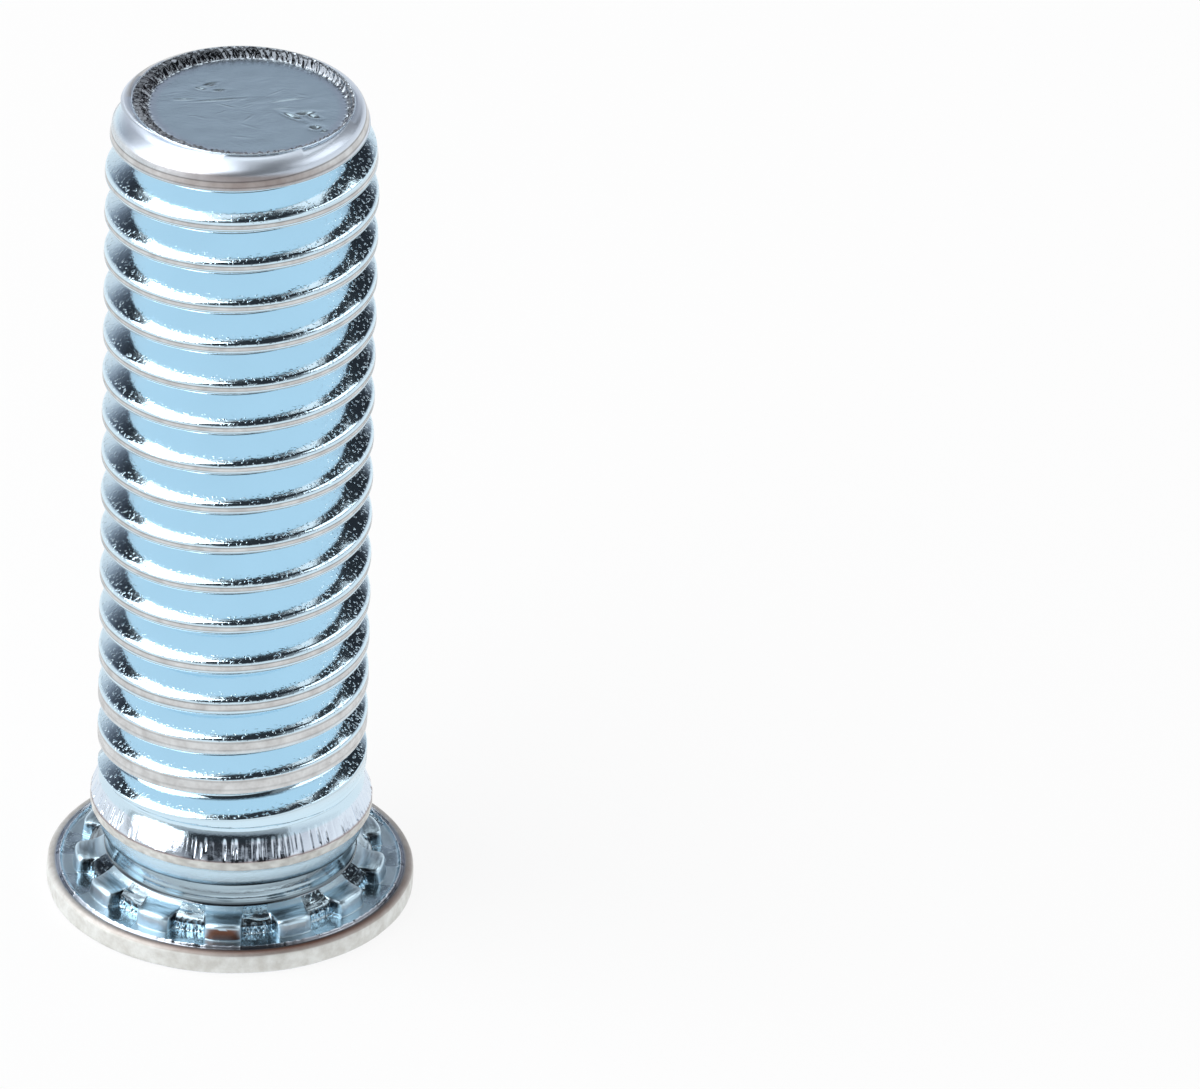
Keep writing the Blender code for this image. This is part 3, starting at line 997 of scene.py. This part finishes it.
    def build(self) -> Skin:
        """Carry the section up the helix, hold it between two end rings and close both ends.

        A column's crest is at crest_at_x + pitch * angle / 2 pi. Points past an end ring move onto
        it, and the ring's own points take their place, so the strip closes without a seam.

        Returns:
            The skin of the neck and the thread.
        """
        count = self.columns
        top = self.length - self.tip_drop
        first = math.floor((self.foot - self.crest_at_x) / self.pitch) - 1
        last = math.ceil((top - self.crest_at_x) / self.pitch) + 1
        column = np.arange((last - first) * count + 1)
        middle = self.crest_at_x + (first + column / count) * self.pitch
        share = smooth_step(middle, *self.crest_narrows)
        half = self.crest_half_foot + (self.crest_half_top - self.crest_half_foot) * share
        share = smooth_step(middle, *self.shoulder_grows)
        shoulder = self.shoulder_above_foot + (self.shoulder_above_top - self.shoulder_above_foot) * share
        cut = self.radius - self.limit(middle - half - 0.06)
        drop, rise = self.section(half, shoulder, cut)
        height = middle[:, None] + rise
        angle = np.repeat((TURN * column / count % TURN)[:, None], drop.shape[1], axis=1)
        radius, clipped = self.surface(angle, height, drop)

        low = height <= self.foot
        high = height >= top
        keep = ~(low | high)
        kept = int(keep.sum())
        spin = column % count
        ring_foot, ring_top, ring_cap = kept + np.arange(3 * count).reshape(3, count)
        pole_top = kept + 3 * count
        pole_foot = pole_top + 1
        strip = (np.cumsum(keep.ravel()) - 1).reshape(height.shape)
        strip = np.where(low, ring_foot[spin][:, None], strip)
        strip = np.where(high, ring_top[spin][:, None], strip)
        wrap = strip[count:, :1]
        closed = np.concatenate((strip[: len(wrap)], wrap), axis=1)
        corners = (closed[:-1, :-1], closed[1:, :-1], closed[1:, 1:], closed[:-1, 1:])
        quads, triangles = split_collapsed(np.stack(corners, axis=-1).reshape(-1, 4))
        foot_after, top_after, cap_after = (np.roll(ring, -1) for ring in (ring_foot, ring_top, ring_cap))
        cap_quads = np.stack((ring_top, top_after, cap_after, ring_cap), axis=-1)
        fan_top = np.stack((ring_cap, cap_after, np.full(count, pole_top)), axis=-1)
        fan_foot = np.stack((foot_after, ring_foot, np.full(count, pole_foot)), axis=-1)

        turn = TURN * np.arange(count) / count
        cap = top - self.cap_depth
        points = np.concatenate(
            (
                polar(radius, angle, height)[keep],
                polar(self.body(np.full(count, self.foot)), turn, np.full(count, self.foot)),
                polar(np.full(count, self.tip_radius), turn, np.full(count, top)),
                polar(np.full(count, self.tip_radius - self.cap_depth), turn, np.full(count, cap)),
                np.array(((0.0, 0.0, cap), (0.0, 0.0, self.foot))),
            )
        )
        # The end rings and their poles are out of sight, so one value a mark does for them.
        hidden = {"film": 0.2, "satin": 0.5}
        marks = {}
        for name, grid in self.marks(middle, angle, height, drop, radius, clipped).items():
            marks[name] = np.concatenate((grid[keep], np.full(3 * count + 2, hidden.get(name, 0.0))))

        faces = [quads, triangles, cap_quads, fan_top, fan_foot]
        used = np.zeros(len(points), bool)
        for face in faces:
            used[face.ravel()] = True
        renumber = np.cumsum(used) - 1
        marks = {name: values[used] for name, values in marks.items()}
        return Skin(points[used], [renumber[face] for face in faces], marks)


@dataclass(frozen=True)
class Dent:
    """Oval bell pressed into the dish, with a small rise around it."""

    x: float
    y: float
    long: float
    short: float
    turn: float
    depth: float

    def at(self, x: Array, y: Array) -> Array:
        """How deep the dent is: depth * (exp(-d) - 0.35 exp(-d / 3)), d the squared oval distance.

        Args:
            x: Places along X.
            y: Places along Y.

        Returns:
            Depths, which are below 0 on the rise round the dent.
        """
        turn = math.radians(self.turn)
        along = (x - self.x) * math.cos(turn) + (y - self.y) * math.sin(turn)
        across = (y - self.y) * math.cos(turn) - (x - self.x) * math.sin(turn)
        far = (along / self.long) ** 2 + (across / self.short) ** 2
        return self.depth * (np.exp(-far) - 0.35 * np.exp(-far / 3.0))


@dataclass
class DishedTip:
    """Shallow dish that the blank's end is pressed into, with its torn lip.

    The scratches' length and depth are drawn between two numbers, and their turn in degrees from a
    mean and a spread.
    """

    length: float
    lip_radius: float = 2.42
    lip_inside: float = 2.30
    depth: float = 0.18
    radius: float = 2.13
    shift: float = 0.10
    columns: int = 480
    floor_ripple: float = 0.0006
    ripple_length: float = 0.45
    ripple_seed: int = 33
    lip_tear: Relief = Relief(0.022, 0.26, 0.5, 31, Look.TORN, radius=2.4)
    lip_chips: Relief = Relief(0.014, 0.10, 0.12, 32, Look.TORN, radius=2.4)
    dents: tuple[Dent, ...] = (
        Dent(1.06, -0.36, 0.16, 0.045, -35.0, 0.045),
        Dent(1.34, -0.22, 0.15, 0.050, 15.0, 0.050),
        Dent(1.52, -0.34, 0.10, 0.045, -30.0, 0.045),
        Dent(1.57, -0.84, 0.09, 0.060, 10.0, 0.050),
        Dent(1.76, -0.98, 0.06, 0.030, 40.0, 0.030),
        Dent(-0.75, 0.95, 0.16, 0.050, 30.0, 0.020),
        Dent(-0.95, 0.75, 0.10, 0.040, -20.0, 0.018),
        Dent(-0.55, 0.70, 0.13, 0.030, 10.0, 0.018),
        Dent(-0.50, 0.28, 0.55, 0.035, 12.0, 0.010),
        Dent(0.95, 0.36, 0.36, 0.022, 20.0, 0.010),
        Dent(-1.30, 0.25, 0.20, 0.030, 5.0, 0.012),
    )
    scratches: int = 34
    scratch_seed: int = 35
    scratch_spread: float = 0.95
    scratch_length: Pair = (0.06, 0.28)
    scratch_width: float = 0.022
    scratch_turn: Pair = (15.0, 35.0)
    scratch_depth: Pair = (0.001, 0.006)

    def outline(self) -> Array:
        """Draw the outline from the middle of the dish, up its wall, over the lip and back under.

        Returns:
            The points, one a row.
        """
        floor = self.length - self.depth
        inside = (self.lip_inside, self.length - 0.012)
        brink = (self.lip_inside - 0.03, self.length - 0.045)
        wall_foot = (self.radius + 0.05, floor + 0.035)
        outside = (self.lip_radius - 0.045, self.length - 0.004)
        edge = (self.lip_radius, self.length - 0.03)
        tuck = moved(edge, -0.06, -0.05)
        under = (self.lip_radius - 0.22, floor - 0.08)
        return joined(
            line((0.0, floor), (0.03, floor), 2),
            line((0.03, floor), (self.radius - 0.04, floor), 62),
            arc((self.radius - 0.04, floor), (self.radius + 0.03, floor), wall_foot, 5),
            line(wall_foot, brink, 7),
            arc(brink, (self.lip_inside - 0.012, self.length - 0.014), inside, 4),
            line(inside, outside, 4),
            arc(outside, (self.lip_radius, self.length - 0.003), edge, 5),
            line(edge, tuck, 2),
            line(tuck, under, 2),
            line(under, (0.0, floor - 0.12), 2),
        )

    def build(self) -> Skin:
        """Turn the outline round the axis, tear its lip and mark its floor.

        The dish lies off the axis by its shift, which grows from nothing at the lip's outside to
        the full amount at the floor's edge.

        Returns:
            The tip's skin.
        """
        path = self.outline()
        floor = self.length - self.depth
        angle = np.linspace(0.0, TURN, self.columns, endpoint=False)[None, :]
        radius = np.repeat(path[:, :1], self.columns, axis=1)
        height = np.repeat(path[:, 1:], self.columns, axis=1)
        above = height > floor - 0.01
        on_floor = (1 - smooth_step(radius, self.radius - 0.25, self.radius - 0.02)) * above
        on_lip = smooth_step(radius, self.radius - 0.02, self.radius + 0.08) * above
        on_lip = on_lip * (1 - smooth_step(radius, self.lip_radius - 0.05, self.lip_radius - 0.01))
        tear = self.lip_tear.at(angle, radius) + self.lip_chips.at(angle, radius)
        height = height + on_lip * (tear - 0.012)
        shift = self.shift * (1 - smooth_step(radius, self.radius + 0.05, self.lip_radius - 0.02)) * above
        x = radius * np.cos(angle) + shift
        y = radius * np.sin(angle)
        height = height + on_floor * self.floor_ripple * ripples(x, y, self.ripple_length, self.ripple_seed)
        random = np.random.default_rng(self.scratch_seed)
        for _ in range(self.scratches):
            place = random.normal(0.0, self.scratch_spread, 2)
            size = random.uniform(*self.scratch_length)
            turn = random.normal(*self.scratch_turn)
            depth = random.uniform(*self.scratch_depth)
            scratch = Dent(place[0], place[1], size, self.scratch_width, turn, depth)
            height = height - on_floor * scratch.at(x, y)
        # Painted shade darkens the dents' steep sides.
        dark = 0.0 * height
        for dent in self.dents:
            depth = dent.at(x, y)
            height = height - above * depth
            dark = np.maximum(dark, above * smooth_step(np.abs(np.gradient(depth, axis=0)), 0.001, 0.006))
        height = np.minimum(height, self.length)
        back = 0.5 + 0.5 * np.sin(angle - math.radians(25.0))
        torn = on_lip * (1 - on_floor)
        marks = {
            "rubbed": 0.0 * height,
            "film": 0.4 + 0.6 * on_floor,
            "satin": 0.25 + 0.25 * on_floor,
            # The torn lip is browned all round; the painted shade on it is heaviest at the back.
            "stain_and_painted_shade": 0.35 * torn,
            "grit": torn,
            "shade": np.clip(torn * (0.25 + 0.6 * back) + 0.85 * dark, 0, 1),
        }
        return turned_skin(np.stack((x, y, height), axis=-1), marks)


def split_collapsed(quads: Array) -> tuple[Array, Array]:
    """Sort quads by how many corners they still have after points were merged.

    Args:
        quads: Corner numbers, four a row, of which neighbours may be equal.

    Returns:
        The whole quads, and the triangles that the collapsed ones left.
    """
    same = quads == np.roll(quads, -1, axis=1)
    lost = same.sum(axis=1)
    whole = quads[lost == 0]
    flat = quads[lost == 1]
    keep = ~same[lost == 1]
    triangles = flat[keep].reshape(-1, 3)
    return whole, triangles


def linear(colour: str) -> tuple[float, float, float, float]:
    """Turn an sRGB hex colour into linear RGBA.

    Args:
        colour: Six hex digits after a hash mark.

    Returns:
        Linear red, green, blue and an alpha of 1.
    """
    parts = [int(colour[n : n + 2], 16) / 255.0 for n in (1, 3, 5)]
    red, green, blue = [c / 12.92 if c <= 0.04045 else ((c + 0.055) / 1.055) ** 2.4 for c in parts]
    return red, green, blue, 1.0


def add_node(
    tree: bpy.types.NodeTree, kind: str, settings: dict | None = None, inputs: dict | None = None
) -> bpy.types.Node:
    """Add a shader node with its settings and what goes into its sockets.

    Args:
        tree: Node tree that gets the node.
        kind: Blender's name for the kind of node.
        settings: Properties of the node.
        inputs: For a socket's name or number, a value or another node's output.

    Returns:
        The new node.
    """
    node = tree.nodes.new(kind)
    for name, value in (settings or {}).items():
        setattr(node, name, value)
    for name, value in (inputs or {}).items():
        if isinstance(value, bpy.types.NodeSocket):
            tree.links.new(value, node.inputs[name])
        else:
            node.inputs[name].default_value = value
    return node


def empty_material(name: str) -> tuple[bpy.types.Material, bpy.types.NodeTree]:
    """Make a material with an empty node tree.

    Args:
        name: Name of the material.

    Returns:
        The material and its node tree.
    """
    material = bpy.data.materials.new(name)
    material.use_nodes = True
    material.node_tree.nodes.clear()
    return material, material.node_tree


@dataclass(frozen=True)
class PassivatedZinc:
    """Electroplated zinc, bright dipped and blue passivated, over rolled or pressed steel.

    The film is a thin clear conversion coat that tints the metal pale blue, deepest where nothing
    has touched it. Where dies, nuts or other parts rubbed it, the plate is grey, matt and finely
    scored. The plate's own grain breaks reflections into fine sparkle. Real grain and scores are
    a few thousandths of a millimetre wide, and are drawn as coarse as it takes to show them.
    Sizes are in millimetres.
    """

    name: str
    film_deep: str = "#D2EBF9"
    film_pale: str = "#DDE8F5"
    bare: str = "#DADCDD"
    bare_dull: str = "#C0C0C0"
    # The brown is for stains and painted shade, the slate grey for painted shade and a little grey soil.
    stain_and_painted_shade: str = "#7A5546"
    shade: str = "#33393F"
    polish: float = 0.10
    rubbed_roughness: float = 0.30
    satin_roughness: float = 0.42
    patch_size: float = 0.35
    cloud_size: float = 1.4
    cloud_share: float = 0.04
    wear_spread: float = 0.5
    grain_size: float = 0.11
    grain_depth: float = 0.0022
    pit_size: float = 0.075
    pit_depth: float = 0.0065
    score_size: float = 0.03
    score_depth: float = 0.0015

    def material(self) -> bpy.types.Material:
        """Build the node material.

        Returns:
            The material. It reads the marks rubbed, film, satin and grit, the brown mark of stains and
            painted shade, and the slate grey mark of painted shade and a little grey soil.
        """
        material, tree = empty_material(self.name)
        place = add_node(tree, "ShaderNodeTexCoord").outputs["Object"]
        marks = {
            name: add_node(tree, "ShaderNodeAttribute", {"attribute_name": name}).outputs["Fac"]
            for name in ("rubbed", "film", "satin", "stain_and_painted_shade", "shade", "grit")
        }
        patterns = {
            "grain": (self.grain_size, 4.0, 0.65),
            "score": (self.score_size, 4.0, 0.7),
            "cloud": (self.cloud_size, 2.0, 0.5),
            "patch": (self.patch_size, 3.0, 0.65),
            "pits": (self.pit_size, 1.0, 0.5),
        }
        noise = {
            name: add_node(
                tree,
                "ShaderNodeTexNoise",
                {"noise_dimensions": "3D"},
                {"Vector": place, "Scale": 1.0 / (size * MM), "Detail": detail, "Roughness": roughness},
            ).outputs["Fac"]
            for name, (size, detail, roughness) in patterns.items()
        }

        # Wear is the rubbed mark with its edges broken up by the scores.
        spread = {0: noise["score"], 1: self.wear_spread, 2: -self.wear_spread / 2}
        broken = add_node(tree, "ShaderNodeMath", {"operation": "MULTIPLY_ADD"}, spread)
        clamped = {"operation": "ADD", "use_clamp": True}
        edge = add_node(tree, "ShaderNodeMath", clamped, {0: marks["rubbed"], 1: broken.outputs[0]})
        clamped = {"operation": "MULTIPLY", "use_clamp": True}
        wear = {0: marks["rubbed"], 1: edge.outputs[0]}
        worn = add_node(tree, "ShaderNodeMath", clamped, wear).outputs[0]

        # Bare plate is patchy, and the film over it is faintly clouded.
        patchy = {"Value": noise["patch"], "From Min": 0.35, "From Max": 0.65}
        patches = add_node(tree, "ShaderNodeMapRange", {}, patchy).outputs[0]
        bare_mix = {0: patches, 6: linear(self.bare_dull), 7: linear(self.bare)}
        bare = add_node(tree, "ShaderNodeMix", {"data_type": "RGBA"}, bare_mix).outputs[2]
        film_mix = {0: marks["film"], 6: linear(self.film_pale), 7: linear(self.film_deep)}
        colour = add_node(tree, "ShaderNodeMix", {"data_type": "RGBA"}, film_mix).outputs[2]
        # Over them go the brown of stains and painted shade, and the slate grey of painted shade and a
        # little grey soil.
        layers = (
            ("MULTIPLY", self.cloud_share, noise["cloud"]),
            ("MIX", worn, bare),
            ("MIX", marks["stain_and_painted_shade"], linear(self.stain_and_painted_shade)),
            ("MIX", marks["shade"], linear(self.shade)),
        )
        for blend, share, layer in layers:
            settings = {"data_type": "RGBA", "blend_type": blend}
            colour = add_node(tree, "ShaderNodeMix", settings, {0: share, 6: colour, 7: layer}).outputs[2]

        satin = {"Value": marks["satin"], "To Min": self.polish, "To Max": self.satin_roughness}
        dulled = add_node(tree, "ShaderNodeMapRange", {}, satin).outputs[0]
        scuffed = {"Value": worn, "To Min": dulled, "To Max": self.rubbed_roughness}
        rough = add_node(tree, "ShaderNodeMapRange", {}, scuffed).outputs[0]

        # Pits stand where the noise is highest. The three bumps follow one another.
        pitted = {"Value": noise["pits"], "From Min": 0.58, "From Max": 0.70}
        pits = add_node(tree, "ShaderNodeMapRange", {"interpolation_type": "SMOOTHSTEP"}, pitted).outputs[0]
        bump = {"Height": noise["grain"], "Distance": self.grain_depth * MM, "Strength": 1.0}
        normal = add_node(tree, "ShaderNodeBump", {}, bump).outputs[0]
        for height, depth, strength in (
            (pits, self.pit_depth, marks["grit"]),
            (noise["score"], self.score_depth, marks["rubbed"]),
        ):
            bump = {"Height": height, "Distance": depth * MM, "Strength": strength, "Normal": normal}
            normal = add_node(tree, "ShaderNodeBump", {}, bump).outputs[0]
        look = {"Base Color": colour, "Metallic": 1.0, "Roughness": rough, "Normal": normal}
        shader = add_node(tree, "ShaderNodeBsdfPrincipled", {}, look)
        add_node(tree, "ShaderNodeOutputMaterial", {}, {"Surface": shader.outputs[0]})
        return material


@dataclass(frozen=True)
class Softbox:
    """Flat evenly lit panel, placed by its direction from the stud and turned to face it."""

    name: str
    azimuth: float
    elevation: float
    width: float
    height: float
    level: float
    distance: float = 0.5
    aim_height: float = 0.01

    def build(self) -> bpy.types.Object:
        """Make the area lamp. Its power is level times pi times its area.

        Returns:
            The lamp's object.
        """
        lamp = bpy.data.lights.new(self.name, "AREA")
        lamp.shape = "RECTANGLE"
        lamp.size = self.width
        lamp.size_y = self.height
        lamp.energy = self.level * math.pi * self.width * self.height
        item = bpy.data.objects.new(self.name, lamp)
        azimuth, elevation = math.radians(self.azimuth), math.radians(self.elevation)
        flat = math.cos(elevation)
        away = Vector((math.sin(azimuth) * flat, -math.cos(azimuth) * flat, math.sin(elevation)))
        place = away * self.distance + Vector((0, 0, self.aim_height))
        item.matrix_world = Matrix.Translation(place) @ away.to_track_quat("Z", "Y").to_matrix().to_4x4()
        item.visible_camera = False
        bpy.context.scene.collection.objects.link(item)
        return item


def stage_sheet(name: str, points: Array, faces: list[list[int]], material: bpy.types.Material) -> None:
    """Make a sheet of the studio.

    Args:
        name: Name of the object.
        points: Its points in metres, one a row.
        faces: Point numbers of each face.
        material: Its only material.
    """
    mesh = bpy.data.meshes.new(name)
    mesh.from_pydata(points.tolist(), [], faces)
    mesh.materials.append(material)
    item = bpy.data.objects.new(name, mesh)
    bpy.context.scene.collection.objects.link(item)


@dataclass(frozen=True)
class PaperWall:
    """Stretch of paper round the table that glows by itself, between two azimuths in degrees.

    Its glow is painted light: colours at shares of its height, darker towards the top.
    """

    name: str
    start: float
    end: float
    height: float
    shades: tuple[tuple[float, str], ...]
    segments: int = 63

    def build(self, radius: float) -> None:
        """Make the wall, as (radius sin a, -radius cos a, z) for azimuths a and two heights z.

        Args:
            radius: Its distance from the axis in metres.
        """
        azimuth = np.radians(np.linspace(self.start, self.end, self.segments + 1))
        low = np.stack((np.sin(azimuth), -np.cos(azimuth), 0.0 * azimuth), axis=-1) * radius
        points = np.concatenate((low, low + np.array((0.0, 0.0, self.height))))
        index = np.arange(self.segments)
        count = self.segments + 1
        faces = np.stack((index, index + 1, index + 1 + count, index + count), axis=-1)
        material, tree = empty_material(self.name + "_paper")
        place = add_node(tree, "ShaderNodeTexCoord").outputs["Object"]
        parts = add_node(tree, "ShaderNodeSeparateXYZ", {}, {0: place})
        height = {"Value": parts.outputs["Z"], "From Max": self.height}
        share = add_node(tree, "ShaderNodeMapRange", {}, height)
        ramp = add_node(tree, "ShaderNodeValToRGB", {}, {0: share.outputs[0]})
        stops = ramp.color_ramp.elements
        while len(stops) < len(self.shades):
            stops.new(0.5)
        for stop, (position, shade) in zip(stops, self.shades):
            stop.position = position
            stop.color = linear(shade)
        # The wall's glow is painted light, and lamps do not change it.
        glow = add_node(tree, "ShaderNodeEmission", {}, {"Color": ramp.outputs[0], "Strength": 1.0})
        add_node(tree, "ShaderNodeOutputMaterial", {}, {"Surface": glow.outputs[0]})
        stage_sheet(self.name, points, faces.tolist(), material)


PALE = (
    (0.0, "#F9F9F9"),
    (0.30, "#E7E7EA"),
    (0.55, "#C4C6CE"),
    (0.76, "#A4A7B3"),
    (0.90, "#6E717B"),
    (1.0, "#3A3C42"),
)
DIM = (
    (0.0, "#F9F9F9"),
    (0.30, "#DCDDE2"),
    (0.45, "#AAADB6"),
    (0.56, "#747781"),
    (0.70, "#4E515A"),
    (0.85, "#33363D"),
    (1.0, "#26282D"),
)
DARK = ((0.0, "#F9F9F9"), (0.20, "#E7E7EA"), (0.37, "#A2A4AC"), (0.47, "#5E6067"), (0.56, "#2B2D32"))
GREY = ((0.0, "#CBCBCB"), (1.0, "#898C92"))


@dataclass
class Studio:
    """White table inside a ring of paper walls, under softboxes, in a dark room.

    The metal mirrors the table and the walls as broad pale and dark zones, and the softboxes as
    white patches.
    """

    table_radius: float = 0.62
    table_drop: float = 0.00001
    table_corners: int = 96
    table_white: float = 0.8
    straight_share: float = 0.88
    wall_radius: float = 0.60
    room: tuple[float, float, float, float] = (0.03, 0.033, 0.038, 1.0)
    softboxes: tuple[Softbox, ...] = (
        Softbox("overhead_softbox", 192.0, 72.0, 0.635, 0.46, 1.06),
        Softbox("left_softbox", -69.0, 35.0, 0.66, 0.70, 3.0),
        Softbox("right_softbox", 90.0, 34.0, 0.44, 0.24, 1.8),
        Softbox("grey_reflector", 50.0, 24.0, 0.18, 0.26, 0.22),
    )
    walls: tuple[PaperWall, ...] = (
        PaperWall("back_wall", 152.0, 210.0, 0.46, PALE),
        PaperWall("left_wall", 210.0, 270.0, 0.46, DIM),
        PaperWall("side_wall", 50.0, 152.0, 0.46, DARK),
        PaperWall("front_wall", -90.0, 50.0, 0.12, GREY),
    )

    def build(self) -> None:
        """Make the lamps, the table, the walls and the dark room."""
        for softbox in self.softboxes:
            softbox.build()
        self.table()
        for wall in self.walls:
            wall.build(self.wall_radius)
        world = bpy.data.worlds.new("dark_room")
        world.use_nodes = True
        world.node_tree.nodes["Background"].inputs["Color"].default_value = self.room
        bpy.context.scene.world = world

    def table(self) -> None:
        """Make the round white table top.

        The camera and reflections see it mostly as plain white. Part of its shading is kept, so
        that the stud's shadow stays on it.
        """
        angle = np.linspace(0.0, TURN, self.table_corners, endpoint=False)
        points = np.stack((np.cos(angle), np.sin(angle), 0.0 * angle), axis=-1) * self.table_radius
        points[:, 2] = -self.table_drop
        material, tree = empty_material("white_table")
        ray = add_node(tree, "ShaderNodeLightPath")
        seen = {0: ray.outputs["Is Camera Ray"], 1: self.straight_share}
        straight = add_node(tree, "ShaderNodeMath", {"operation": "MULTIPLY"}, seen)
        either = {0: straight.outputs[0], 1: ray.outputs["Is Glossy Ray"]}
        part = add_node(tree, "ShaderNodeMath", {"operation": "MAXIMUM"}, either)
        white = (self.table_white, self.table_white, self.table_white, 1.0)
        matt = add_node(tree, "ShaderNodeBsdfDiffuse", {}, {"Color": white})
        glow = add_node(tree, "ShaderNodeEmission", {}, {"Color": (1, 1, 1, 1), "Strength": 1.0})
        both = {0: part.outputs[0], 1: matt.outputs[0], 2: glow.outputs[0]}
        mix = add_node(tree, "ShaderNodeMixShader", {}, both)
        add_node(tree, "ShaderNodeOutputMaterial", {}, {"Surface": mix.outputs[0]})
        stage_sheet("table", points, [list(range(self.table_corners))], material)


@dataclass
class LongLens:
    """Camera that looks down on the stud from the front through a long lens."""

    place: tuple[float, float, float] = (7.954, -339.198, 207.471)
    elevation: float = math.radians(30.355)
    roll: float = math.radians(1.692)
    focal_pixels: float = 18000.0
    sensor: float = 36.0

    def build(self) -> None:
        """Make the camera. Its lens is the focal length in pixels times sensor over image width."""
        data = bpy.data.cameras.new("camera")
        data.sensor_fit = "HORIZONTAL"
        data.sensor_width = self.sensor
        data.lens = self.focal_pixels * self.sensor / IMAGE_SIZE[0]
        data.clip_start = 0.01
        data.clip_end = 10.0
        item = bpy.data.objects.new("camera", data)
        tilt = Matrix.Rotation(math.pi / 2 - self.elevation, 4, "X")
        roll = Matrix.Rotation(self.roll, 4, "Z")
        item.matrix_world = Matrix.Translation(Vector(self.place) * MM) @ tilt @ roll
        bpy.context.scene.collection.objects.link(item)
        bpy.context.scene.camera = item


def main() -> None:
    """Build the stud's four solids, dress them and set up the studio."""
    logging.basicConfig(level=logging.INFO, format="%(name)s: %(message)s")
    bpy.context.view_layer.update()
    low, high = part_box(NODE)
    head_radius = (high.x - low.x) / 2 / MM
    length = high.z / MM

    # Bare plate is smoother where dies rolled it, and paler and more matt where it was pressed.
    rolled = PassivatedZinc("rolled_zinc_blue_passivated").material()
    pressed = PassivatedZinc(
        "pressed_zinc_blue_passivated", bare="#E8EAE8", bare_dull="#D4D4D0", rubbed_roughness=0.62
    ).material()
    skins = {
        "flush_head": (FlushHead(radius=head_radius).build(), pressed),
        "displacer_collar": (Collar().build(), pressed),
        "rolled_thread": (RolledThread(length=length).build(), rolled),
        "dished_tip": (DishedTip(length=length).build(), rolled),
    }
    for name, (skin, material) in skins.items():
        piece = skin.object(name, material)
        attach(piece, "root")
        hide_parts(NODE)

    Studio().build()
    LongLens().build()
    bpy.context.scene.view_settings.view_transform = "Standard"


if __name__ == "__main__":
    main()
